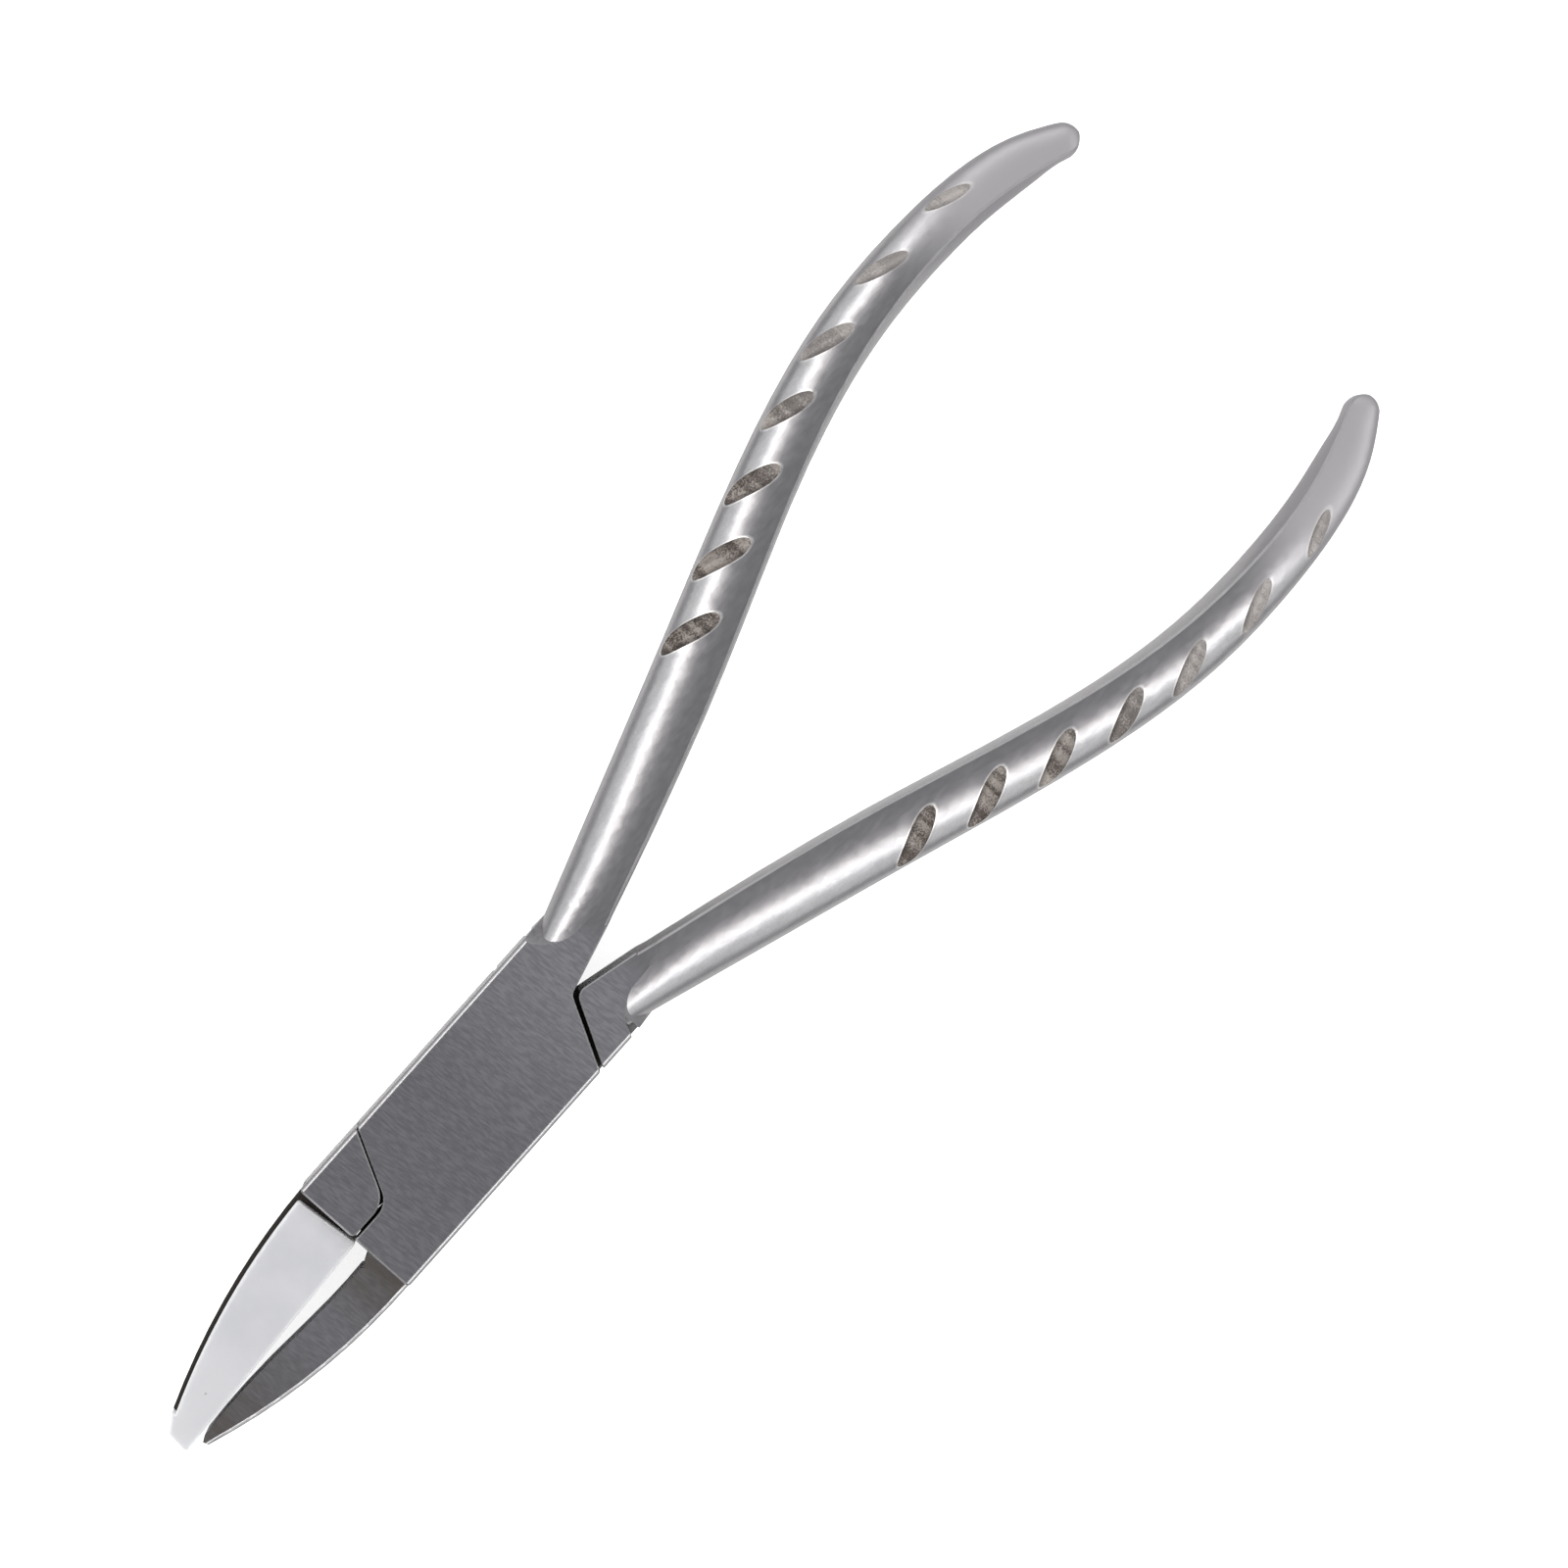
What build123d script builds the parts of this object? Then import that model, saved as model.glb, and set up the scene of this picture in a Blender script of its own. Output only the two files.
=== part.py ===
from build123d import *
from math import cos, sin, radians, sqrt
import os

# Slim stainless nylon-jaw pliers, in millimetres.
# Origin: on the pivot axis, in the underside of the joint. +X runs to the jaw tips, +Z is up.
# Both halves come from one forging: handle on the -Y side, jaw on the +Y side, plate on top.
# The half that carries the nylon pad is that forging turned over about X.

# Joint
joint_height = 8.0
joint_half_width = 6.35
mid = joint_height / 2
plate_gap = 0.06            # running gap between the two lapped plates
front_wall = 16.4           # where the joint ends and the jaws begin
long_edge_round = 0.45
wall_edge_chamfer = 0.2
seam_chamfer = 0.12

# Seams between one half's plate and the other half's shoulders
front_seam = (9.0, 12.35)   # X at the joint's side and at its centre line
rear_seam = (-9.1, -12.6)
front_gap = 0.13
rear_gap = 0.34
centre_offset = 0.13        # each shoulder's distance from the centre line
front_rounds = (2.4, 2.0)   # corners of the front shoulder and of its pocket, which is tighter
rear_rounds = (1.1, 1.0)    # the same at the rear, so that the gap widens at the corners
shoulder_nose_round = 0.5   # corner of a shoulder at the front wall
cut_over = 1.0              # how far a pocket is cut past the joint's outside

# Pivot rivet
rivet_radius = 2.25
rivet_head_radius = 3.4
rivet_head_depth = 0.8
pivot_clearance = 0.03

# Handle centre line in plan: tangent arcs that start at the joint
root_point = (-14.0, -3.1)
root_angle = 16.5           # degrees outwards from the -X direction
handle_arcs = [(730.0, 3.5), (66.0, -26.0), (35.0, -14.0), (14.0, -17.0)]   # radius, turn outwards
# Distance along the handle, width, half height, swell of the inner face between its two edges,
# flat share of the width at the inner edge, and height of the outer shoulder as a share.
# The root stands higher than the joint and is ground down flush with it.
handle_sections = [
    (0.0, 5.2, 4.08, 0.15, 0.72, 0.94),
    (3.0, 5.4, 4.06, 0.15, 0.62, 0.88),
    (6.3, 5.6, 3.98, 0.2, 0.52, 0.82),
    (16.8, 6.05, 3.65, 0.25, 0.45, 0.76),
    (27.0, 6.15, 3.45, 0.25, 0.45, 0.76),
    (44.0, 5.8, 3.35, 0.3, 0.45, 0.76),
    (60.0, 5.5, 3.3, 0.55, 0.44, 0.78),
    (70.0, 5.25, 3.05, 0.8, 0.46, 0.82),
    (77.0, 5.0, 2.7, 0.8, 0.58, 0.9),
    (82.0, 4.3, 2.35, 0.5, 0.66, 0.93),
    (85.4, 3.3, 2.1, 0.2, 0.62, 0.92),
]
handle_edge = 0.22          # chamfer where the inner face meets the upper and lower faces
nose_length = 1.7           # of the rounded end
nose_steps = 5
nose_keep = 0.45            # share of the height that the end keeps
nose_turn = 80.0            # degrees of the quarter ellipse, short of a point

# Root of the handle, where the ground flat of the joint runs out in a crescent
root_slope = 32.0           # degrees from upright
crescent = [(-12.8, 6.35), (-14.2, 4.3), (-16.0, 3.45)]
flat_end_x = -18.5
flat_end_width = 1.7
inner_edge_slope = 0.258    # of the handle's inner side, away from the centre line
root_reach = -30.0          # X at which the root's construction plans stop
root_side = 12.0            # and their distance to the side
lower_root_back = 1.2       # the sloped lower root starts this far behind the crotch

# Grip grooves, a row on each face of a handle, ground with a round-edged wheel
# Distance along the handle, and height of the groove's floor from the handle's mid-plane
grooves = [
    (30.3, 2.08),
    (37.4, 2.07),
    (44.4, 2.07),
    (51.3, 2.18),
    (58.2, 2.3),
    (66.3, 2.39),
    (75.0, 2.43),
]
groove_offset = 0.8         # from the handle's centre line, outwards
groove_lean = 30.0          # of the wheel, from upright, outwards
groove_heading = 28.0       # degrees inwards from the -X direction
groove_wheel_radius = 16.0
groove_edge_radius = 0.95

# Jaws
jaw_bottom = 1.2
jaw_top = joint_height - jaw_bottom
jaw_edge_round = 0.35
jaw_root = front_wall - 1.0
steel_curve = ((17.36, -54.66), 61.0)     # centre and radius of the steel jaw's outer side
steel_tip_x = 38.4
steel_grip = [(18.2, 2.17), (24.0, 2.1), (29.5, 1.74), (34.5, 1.62), (38.0, 1.74)]
steel_relief = [(jaw_root, 1.9), (front_wall + 0.8, 1.9), (front_wall + 1.4, 2.35)]
steel_tip_nose = (0.15, 0.3)              # X and Y of the tip's corner from the end of the grip
carrier_curve = ((14.44, -59.72), 66.0)
carrier_tip_x = 38.3
blade_thickness = 2.0
blade_chamfer = 0.2

# Nylon pad: a sleeve over the carrier's blade, closed along its gripping side and its tip
pad_setback = 0.4           # width of blade left showing along the pad's outer side
pad_grip = [(17.0, 0.43), (40.2, 1.55)]
pad_tip_outer = (40.0, -0.62)
pad_back_x = 17.3
pad_round = 0.2
pad_corner_round = 0.3
pad_step = (0.06, 0.1)      # X and Y from the carrier's tip to where the pad's end begins
pad_wall = 1.5              # nylon between the blade and the gripping side
pad_fit = 0.02

# Pad screws, driven from the underside
screw_places = [(21.4, -3.5), (29.6, -2.35)]
screw_radius = 0.8
screw_head_radius = 1.5
screw_head_depth = 0.85
screw_sink = 0.05
screw_top = mid + blade_thickness / 2 - 0.2
screw_slot = (0.4, 0.35)    # width, depth

grind_reach = 250.0         # across the block that keeps the handles level with the joint
flat_enough = 0.001


def prism(face, bottom, top):
    return Pos(0, 0, bottom) * extrude(face, top - bottom, dir=(0, 0, 1))


def flip(shape):
    """Turn a half over about the X direction through the middle of the joint."""
    return shape.rotate(Axis((0, 0, mid), (1, 0, 0)), 180)


def seam_x(seam, y):
    return seam[1] + (seam[0] - seam[1]) * y / joint_half_width


def front_shoulder(cut):
    """Plan of a shoulder on the +Y side; cut gives the wider pocket that it swings in."""
    side = -1 if cut else 1
    gap = front_gap if cut else 0.0
    over = cut_over if cut else 0.0
    far = joint_half_width + over
    shift = gap * sqrt(1 + ((front_seam[0] - front_seam[1]) / joint_half_width) ** 2)
    pts = [
        (seam_x(front_seam, far) - shift, far),
        (seam_x(front_seam, side * centre_offset) - shift, side * centre_offset),
        (front_wall + over, side * centre_offset),
        (front_wall + over, far),
    ]
    rounds = [0, front_rounds[1 if cut else 0], 0 if cut else shoulder_nose_round, 0]
    return make_face(FilletPolyline(*pts, radius=rounds, close=True))


def inner_edge_y(x):
    """The inner side of the handle's root, from the crotch rearwards, on the +Y side."""
    return centre_offset + (seam_x(rear_seam, centre_offset) - x) * inner_edge_slope


def rear_pocket():
    """Plan of the pocket on the +Y side that the other half's handle root swings in."""
    far = joint_half_width + cut_over
    shift = rear_gap * sqrt(1 + ((rear_seam[0] - rear_seam[1]) / joint_half_width) ** 2)
    corner_x = seam_x(rear_seam, centre_offset) + shift
    pts = [
        (seam_x(rear_seam, far) + shift, far),
        (corner_x, -inner_edge_y(corner_x)),
        (root_reach, -inner_edge_y(root_reach)),
        (root_reach, far),
    ]
    rounds = [0, rear_rounds[1], 0, 0]
    return make_face(FilletPolyline(*pts, radius=rounds, close=True))


def root_plan(corner_round):
    """Plan of the flat-topped handle root on the +Y side, with its crescent end."""
    start = (seam_x(rear_seam, joint_half_width), joint_half_width)
    corner = (seam_x(rear_seam, centre_offset), centre_offset)
    end_in = (flat_end_x, inner_edge_y(flat_end_x))
    end_out = (flat_end_x, inner_edge_y(flat_end_x) + flat_end_width)
    edges = [
        Line(start, corner),
        Line(corner, end_in),
        Line(end_in, end_out),
        Line(end_out, crescent[2]),
        ThreePointArc(crescent[2], crescent[1], crescent[0]),
        Line(crescent[0], start),
    ]
    face = make_face(edges)
    if corner_round:
        face = fillet(face.vertices().sort_by_distance(corner)[0], corner_round)
    return face


def joint_blank():
    """The joint's outer form, with its long edges rounded, long enough to hold the roots."""
    length = front_wall - root_reach
    block = Pos(front_wall - length / 2, 0, mid) * Box(length, 2 * joint_half_width, joint_height)
    block = fillet(block.edges().filter_by(Axis.X), long_edge_round)
    return chamfer(block.faces().sort_by(Axis.X)[-1].edges(), wall_edge_chamfer)


def root_bounds():
    """Plan limits of the handle root, so that its sloped end doesn't spread sideways."""
    return Polygon(
        (seam_x(rear_seam, joint_half_width), joint_half_width),
        (seam_x(rear_seam, centre_offset), centre_offset),
        (root_reach, inner_edge_y(root_reach)),
        (root_reach, root_side),
        align=None,
    )


def upper_root():
    """Upper half of the handle root on the -Y side; its corner is cut later by the pocket."""
    body = Pos(0, 0, joint_height) * extrude(root_plan(0), -mid, taper=-root_slope)
    return mirror(body & prism(root_bounds(), 0, joint_height), Plane.XZ)


def lower_root():
    """Lower half of the handle root on the -Y side, rounded where it passes the other plate."""
    plan = root_plan(rear_rounds[0])
    straight = prism(plan, 0, mid)
    sloped = extrude(plan, mid, taper=-root_slope) & prism(root_bounds(), 0, joint_height)
    back_x = rear_seam[1] - lower_root_back
    behind = Pos(back_x, 0, 0) * Box(
        back_x - root_reach, 2 * root_side, joint_height, align=(Align.MAX, Align.CENTER, Align.MIN))
    return mirror(straight + (sloped & behind), Plane.XZ)


def handle_path():
    """Centre line of the handle on the -Y side."""
    angle = radians(root_angle)
    point = Vector(*root_point)
    heading = Vector(-cos(angle), -sin(angle))
    arcs = []
    for radius, turn in handle_arcs:
        arc = JernArc(point, heading, radius, turn)
        arcs.append(arc)
        point = arc @ 1
        heading = arc % 1
    return Wire(arcs)


def section(width, half_height, bulge, flat_share, side_share):
    """D-shaped section: x across the handle with the outer side positive, y up."""
    inner = -width / 2
    wall_end = (inner + bulge, half_height - handle_edge)
    edge = (wall_end[0] + handle_edge, half_height)
    shoulder = (edge[0] + flat_share * width, half_height)
    outer = (width / 2, side_share * half_height)
    side = (width / 2, 0)
    upper = Bezier(edge, shoulder, outer, side)
    lower = Bezier(side, (outer[0], -outer[1]), (shoulder[0], -shoulder[1]), (edge[0], -edge[1]))
    low_chamfer = Line((edge[0], -edge[1]), (wall_end[0], -wall_end[1]))
    wall = ThreePointArc((wall_end[0], -wall_end[1]), (inner, 0), wall_end)
    return Wire([upper, lower, low_chamfer, wall, Line(wall_end, edge)])


def nose_sections():
    """Sections of the rounded end: the last one shrunk along a quarter of an ellipse."""
    start, width, half_height, *shape = handle_sections[-1]
    rows = []
    for step in range(1, nose_steps + 1):
        angle = radians(nose_turn * step / nose_steps)
        narrow = cos(angle)
        tall = narrow + (1 - narrow) * nose_keep
        rows.append((start + nose_length * sin(angle), width * narrow, half_height * tall, *shape))
    return rows


def section_plane(path, distance):
    at = path.position_at(distance, position_mode=PositionMode.LENGTH)
    along = path.tangent_at(distance, position_mode=PositionMode.LENGTH)
    across = Vector(along.Y, -along.X, 0)
    return Plane(origin=(at.X, at.Y, mid), x_dir=-across, z_dir=along)


def handle_bar(path):
    """The handle without its grooves, ground down to the joint's upper and lower faces."""
    wires = []
    for distance, *sizes in handle_sections + nose_sections():
        wires.append(section_plane(path, distance) * section(*sizes))
    between_faces = Pos(0, 0, mid) * Box(grind_reach, grind_reach, joint_height)
    return Solid.make_loft(wires) & between_faces


def groove_cutters(path):
    """Wheels that cut into both faces of the handle, all turned the same way in plan."""
    heading = Vector(-1, 0, 0).rotate(Axis.Z, -groove_heading)
    lean = radians(groove_lean)
    cutters = []
    for distance, height in grooves:
        plane = section_plane(path, distance)
        middle = plane.origin + plane.x_dir * groove_offset
        for side in (1, -1):
            normal = plane.x_dir * sin(lean) + Vector(0, 0, side * cos(lean))
            reach = groove_wheel_radius + groove_edge_radius
            centre = middle + Vector(0, 0, side * height) + normal * reach
            wheel_plane = Plane(origin=centre, z_dir=heading.cross(normal))
            cutters.append(wheel_plane * Torus(groove_wheel_radius, groove_edge_radius))
    return cutters


def handle():
    path = handle_path()
    bar = handle_bar(path)
    for cutter in groove_cutters(path):
        bar = bar - cutter
    return bar


def seam_edges(shape):
    """Edges of the flat faces along the seams and the crotch, not the outside or the crescent."""
    found = []
    for edge in shape.edges():
        box = edge.bounding_box()
        middle = edge.center()
        flat = box.size.Z < flat_enough
        outer_face = min(abs(middle.Z), abs(middle.Z - joint_height)) < flat_enough
        inside = abs(middle.Y) < joint_half_width - long_edge_round - 0.1
        crescent_edge = middle.X < crescent[0][0] and abs(middle.Y) > inner_edge_y(middle.X) + 0.3
        at_wall = middle.X > front_wall - 0.3
        if flat and outer_face and inside and not crescent_edge and not at_wall:
            found.append(edge)
    return found


def plate(blank):
    """Upper plate and upper root, with the pockets for the other half's shoulders."""
    slab = Box(
        front_wall - crescent[0][0], 2 * root_side, mid, align=(Align.MAX, Align.CENTER, Align.MIN))
    body = (Pos(front_wall, 0, mid + plate_gap / 2) * slab) + upper_root()
    body = body & blank
    body = body - mirror(prism(front_shoulder(True), 0, joint_height), Plane.XZ)
    return body - prism(rear_pocket(), 0, joint_height)


def joint_half():
    """Plate, jaw shoulder and handle root of the half whose plate is on top."""
    blank = joint_blank()
    shoulder = prism(front_shoulder(False), 0, joint_height) & blank
    body = plate(blank) + shoulder + (lower_root() & blank)
    return chamfer(seam_edges(body), seam_chamfer)


def rivet_hole(clearance):
    """Countersunk hole through the upper plate."""
    sink_radius = rivet_head_radius + clearance
    bore_radius = rivet_radius + clearance
    bore = Pos(0, 0, joint_height / 2) * Cylinder(bore_radius, 2 * joint_height)
    sink = Pos(0, 0, joint_height - rivet_head_depth / 2) * Cone(
        bore_radius, sink_radius, rivet_head_depth)
    return bore + sink


def curve_y(curve, x, inset=0.0):
    """Distance of a jaw's outer side from the centre line at x, on the +Y side."""
    (centre_x, centre_y), radius = curve
    return centre_y + sqrt((radius - inset) ** 2 - (x - centre_x) ** 2)


def outer_side(curve, start_x, end_x, inset=0.0):
    places = [start_x, (start_x + end_x) / 2, end_x]
    return ThreePointArc(*[(x, curve_y(curve, x, inset)) for x in places])


def long_edges(shape, curve):
    """The two long edges along a jaw's curved outer side."""
    edges = []
    length = carrier_tip_x - jaw_root
    for edge in shape.edges():
        middle = edge.center()
        box = edge.bounding_box()
        near = abs(middle.Y - curve_y(curve, middle.X)) < jaw_edge_round
        if near and box.size.X > length / 2 and box.size.Z < flat_enough:
            edges.append(edge)
    return edges


def steel_jaw():
    """Plain steel jaw on the +Y side."""
    outer = outer_side(steel_curve, jaw_root, steel_tip_x)
    tip = (steel_tip_x + steel_tip_nose[0], steel_grip[-1][1] + steel_tip_nose[1])
    edges = [
        outer,
        Line(outer @ 1, tip),
        Line(tip, steel_grip[-1]),
        Spline(*steel_grip),
        Polyline(*steel_relief, steel_grip[0]),
        Line(steel_relief[0], outer @ 0),
    ]
    body = prism(make_face(edges), jaw_bottom, jaw_top)
    return fillet(long_edges(body, steel_curve), jaw_edge_round)


def grip_y(x, inset=0.0):
    """Gripping side of the nylon pad, on the carrier's own -Y side of the frame."""
    (x0, y0), (x1, y1) = pad_grip
    return y0 + (y1 - y0) * (x - x0) / (x1 - x0) - inset


def blade_plan(grow, root_x):
    """Plan of the carrier's blade on the +Y side, widened by grow for the pad's slot."""
    outer = outer_side(carrier_curve, root_x, carrier_tip_x + grow, -grow)
    inner_tip = (carrier_tip_x + grow, -grip_y(carrier_tip_x, pad_wall) - grow)
    inner_root = (root_x, -grip_y(root_x, pad_wall) - grow)
    return make_face([
        outer,
        Line(outer @ 1, inner_tip),
        Line(inner_tip, inner_root),
        Line(inner_root, outer @ 0),
    ])


def carrier_blade():
    """Thin blade on the +Y side that the nylon pad slides over."""
    low = mid - blade_thickness / 2
    body = prism(blade_plan(0.0, jaw_root), low, low + blade_thickness)
    return chamfer(long_edges(body, carrier_curve), blade_chamfer)


def nylon_pad():
    """Nylon sleeve on the -Y side, in place."""
    back_x = 2 * pad_grip[0][0] - pad_back_x
    outer = outer_side(carrier_curve, pad_back_x, carrier_tip_x, pad_setback)
    step = (carrier_tip_x + pad_step[0], curve_y(carrier_curve, carrier_tip_x) - pad_step[1])
    tip = (pad_tip_outer[0], -pad_tip_outer[1])
    grip_end = (pad_grip[1][0], -pad_grip[1][1])
    grip_start = (back_x, -grip_y(back_x))
    plan = make_face([
        outer,
        Line(outer @ 1, step),
        Line(step, tip),
        Line(tip, grip_end),
        Line(grip_end, grip_start),
        Line(grip_start, outer @ 0),
    ])
    corners = [plan.vertices().sort_by_distance(place)[0] for place in (tip, grip_end, grip_start)]
    corners.append(plan.vertices().sort_by_distance(outer @ 0)[0])
    plan = fillet(corners, pad_corner_round)
    body = prism(plan, jaw_bottom, jaw_top)
    rims = body.faces().sort_by(Axis.Z)
    body = fillet(rims[0].edges() + rims[-1].edges(), pad_round)
    low = mid - blade_thickness / 2 - pad_fit
    slot = prism(blade_plan(pad_fit, jaw_root), low, low + blade_thickness + 2 * pad_fit)
    return mirror(body - slot, Plane.XZ)


def screw_solid(place, fit=0.0):
    """Countersunk slotted screw, head down; fit widens it into its own hole."""
    base = jaw_bottom + screw_sink
    head = Cone(screw_head_radius + fit, screw_radius + fit, screw_head_depth)
    shank_height = screw_top - base
    shank = Cylinder(screw_radius + fit, shank_height)
    body = Pos(0, 0, base + screw_head_depth / 2) * head + Pos(0, 0, base + shank_height / 2) * shank
    if fit:
        body += Pos(0, 0, base - 1.0) * Cylinder(screw_head_radius + fit, 2.0)
    else:
        width, depth = screw_slot
        body -= Pos(0, 0, base) * Box(4 * screw_radius, width, 2 * depth)
    return Pos(place[0], place[1], 0) * body


def pivot_rivet():
    """Solid rivet with a countersunk head in each face of the joint, ground flush."""
    shank = Pos(0, 0, mid) * Cylinder(rivet_radius, joint_height)
    upper = Pos(0, 0, joint_height - rivet_head_depth / 2) * Cone(
        rivet_radius, rivet_head_radius, rivet_head_depth)
    lower = Pos(0, 0, rivet_head_depth / 2) * Cone(
        rivet_head_radius, rivet_radius, rivet_head_depth)
    return shank + upper + lower


def build():
    forging = joint_half() + handle()
    steel_half = forging + steel_jaw() - rivet_hole(0.0)
    pad_half = flip(forging + carrier_blade() - rivet_hole(pivot_clearance))
    pad = nylon_pad()
    nodes = {"steel_jaw_half": steel_half, "pivot_rivet": pivot_rivet()}
    for name, place in zip(("pad_screw_rear", "pad_screw_front"), screw_places):
        nodes[name] = screw_solid(place)
        pad_half -= screw_solid(place, pad_fit)
        pad -= screw_solid(place, pad_fit)
    nodes["pad_jaw_half"] = pad_half
    nodes["nylon_pad"] = pad
    return nodes


os.makedirs("parts", exist_ok=True)
for name, shape in build().items():
    shape.label = name
    export_step(shape, f"parts/{name}.step")
    print(name, len(shape.solids()), "solid", round(shape.volume, 1), "mm3")
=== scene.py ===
import math
import bpy
import numpy as np
from mathutils import Matrix, Vector


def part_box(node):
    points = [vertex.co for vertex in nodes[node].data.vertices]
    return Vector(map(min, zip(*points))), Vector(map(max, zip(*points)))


# Nylon-jaw pliers lying on a pale table. Metres, +X to the jaw tips, +Z up.

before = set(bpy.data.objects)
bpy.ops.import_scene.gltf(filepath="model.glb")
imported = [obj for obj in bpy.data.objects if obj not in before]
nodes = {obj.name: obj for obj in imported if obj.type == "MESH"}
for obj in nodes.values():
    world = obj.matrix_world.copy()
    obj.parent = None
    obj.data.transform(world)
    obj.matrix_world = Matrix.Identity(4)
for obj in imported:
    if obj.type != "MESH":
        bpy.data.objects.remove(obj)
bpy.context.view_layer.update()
print("frame loaded:", ", ".join(sorted(nodes)))


# Small helpers for shader trees.

def addNode(tree, kind, **values):  # a node with some of its sockets or settings filled in
    node = tree.nodes.new(kind)
    for name, value in values.items():
        if hasattr(node, name):
            setattr(node, name, value)
        else:
            node.inputs[name.replace("_", " ")].default_value = value
    return node


def fillSocket(tree, socket, value):  # value is a number, a tuple or another node's output
    if isinstance(value, (int, float)):
        socket.default_value = value
    elif isinstance(value, (tuple, Vector)):
        socket.default_value = value if len(value) == len(socket.default_value) else (*value, 1.0)
    else:
        tree.links.new(value, socket)


def mathNode(tree, operation, first, second=None, clamp=False):
    node = addNode(tree, "ShaderNodeMath", operation=operation, use_clamp=clamp)
    fillSocket(tree, node.inputs[0], first)
    if second is not None:
        fillSocket(tree, node.inputs[1], second)
    return node.outputs[0]


def times(tree, first, second):
    return mathNode(tree, "MULTIPLY", first, second)


def vectorNode(tree, operation, first, second=None):
    node = addNode(tree, "ShaderNodeVectorMath", operation=operation)
    fillSocket(tree, node.inputs[0], first)
    if second is not None:
        fillSocket(tree, node.inputs[1], second)
    return next(s for s in node.outputs if s.enabled)


def scaled(tree, vector, share):  # a vector or colour times a number
    node = addNode(tree, "ShaderNodeVectorMath", operation="SCALE")
    tree.links.new(vector, node.inputs[0])
    fillSocket(tree, node.inputs["Scale"], share)
    return node.outputs[0]


def splitNode(tree, vector):
    node = tree.nodes.new("ShaderNodeSeparateXYZ")
    tree.links.new(vector, node.inputs[0])
    return node.outputs


def joinNode(tree, x, y, z):
    node = tree.nodes.new("ShaderNodeCombineXYZ")
    for socket, value in zip(node.inputs, (x, y, z)):
        tree.links.new(value, socket)
    return node.outputs[0]


def objectPlace(tree):  # the point on the surface, in metres
    return tree.nodes.new("ShaderNodeTexCoord").outputs["Object"]


def uprightNode(tree):  # 1 where the face looks straight up or down, 0 where it looks sideways
    geometry = tree.nodes.new("ShaderNodeNewGeometry")
    return mathNode(tree, "ABSOLUTE", splitNode(tree, geometry.outputs["True Normal"])["Z"])


def stepNode(tree, value, low, high):  # 0 below low, 1 above high, smooth between; low may be the larger
    node = addNode(tree, "ShaderNodeMapRange", interpolation_type="SMOOTHSTEP")
    fillSocket(tree, node.inputs["Value"], value)
    node.inputs["From Min"].default_value = min(low, high)
    node.inputs["From Max"].default_value = max(low, high)
    if low > high:
        node.inputs["To Min"].default_value = 1.0
        node.inputs["To Max"].default_value = 0.0
    return node.outputs[0]


def mixNode(tree, kind, factor, first, second):  # kind is RGBA or FLOAT
    node = addNode(tree, "ShaderNodeMix", data_type=kind)
    sockets = [s for s in node.inputs if s.enabled]
    for socket, value in zip(sockets, (factor, first, second)):
        fillSocket(tree, socket, value)
    return next(s for s in node.outputs if s.enabled)


def mixColour(tree, factor, first, second):
    return mixNode(tree, "RGBA", factor, first, second)


def mixValue(tree, factor, first, second):
    return mixNode(tree, "FLOAT", factor, first, second)


def newGroup(name, inputs, outputs):  # inputs: names and values; outputs: names and socket kinds
    tree = bpy.data.node_groups.new(name, "ShaderNodeTree")
    for socketName, value in inputs:
        kind = "NodeSocketVector" if isinstance(value, tuple) else "NodeSocketFloat"
        socket = tree.interface.new_socket(socketName, in_out="INPUT", socket_type=kind)
        socket.default_value = value
    for socketName, kind in outputs:
        tree.interface.new_socket(socketName, in_out="OUTPUT", socket_type=kind)
    return tree, tree.nodes.new("NodeGroupInput").outputs, tree.nodes.new("NodeGroupOutput").inputs


def placeGroup(tree, group, **values):
    node = tree.nodes.new("ShaderNodeGroup")
    node.node_tree = group
    for name, value in values.items():
        fillSocket(tree, node.inputs[name], value)
    return node


def newMaterial(name):
    material = bpy.data.materials.new(name)
    material.use_nodes = True
    tree = material.node_tree
    tree.nodes.clear()
    shader = tree.nodes.new("ShaderNodeBsdfPrincipled")
    output = tree.nodes.new("ShaderNodeOutputMaterial")
    tree.links.new(shader.outputs[0], output.inputs["Surface"])
    return material, tree, shader


def addBump(tree, shader, bump, height, normal=None):  # bump is its strength and its depth in metres
    node = addNode(tree, "ShaderNodeBump", Strength=bump[0], Distance=bump[1])
    tree.links.new(height, node.inputs["Height"])
    if normal is not None:
        tree.links.new(normal, node.inputs["Normal"])
    tree.links.new(node.outputs[0], shader.inputs["Normal"])


# Effects that several materials share.

noiseSpread = (0.3, 0.7)  # noise lies mostly between these, so they become 0 and 1

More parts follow.
